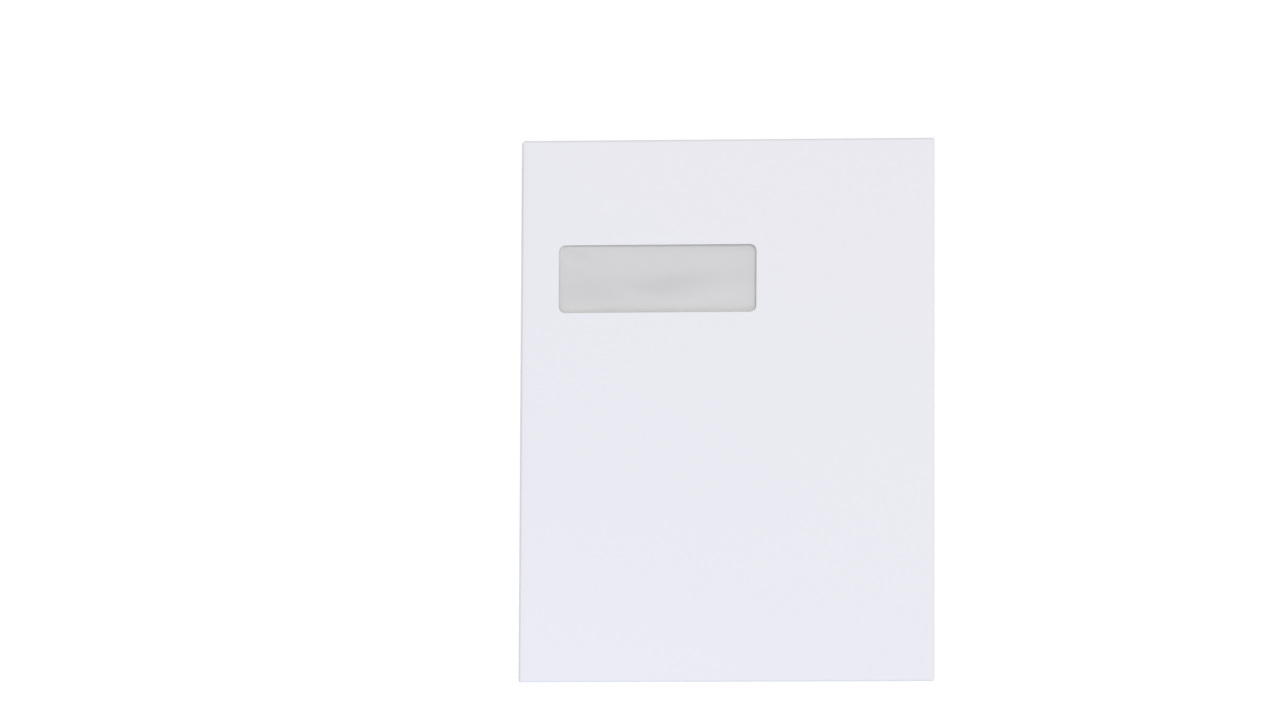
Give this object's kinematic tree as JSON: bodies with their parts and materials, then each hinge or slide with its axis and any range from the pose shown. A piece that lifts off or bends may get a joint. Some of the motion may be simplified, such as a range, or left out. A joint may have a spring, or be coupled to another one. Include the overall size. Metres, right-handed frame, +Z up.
{
  "type": "window envelope",
  "caption": "Flat paper pocket envelope with a film window, side seam, bottom flap and gummed closing flap folded under, for posting unfolded sheets.",
  "frame": {"origin": "middle of the flat back on the surface it lies on", "axes": "+Y towards the top fold, along the height; +X to the right when looking at the window side; +Z up through the window side"},
  "size_m": [0.25, 0.33, 0.0025],
  "materials": {
    "paper": "smooth white wove paper with a grey tint printed on the inside",
    "film": "thin clear glossy film",
    "gum": "dried clear gum with a soft gloss"
  },
  "bodies": {
    "root": {"envelope_paper": "paper", "window_film": "film", "flap_gum": "gum"}
  },
  "joints": []
}
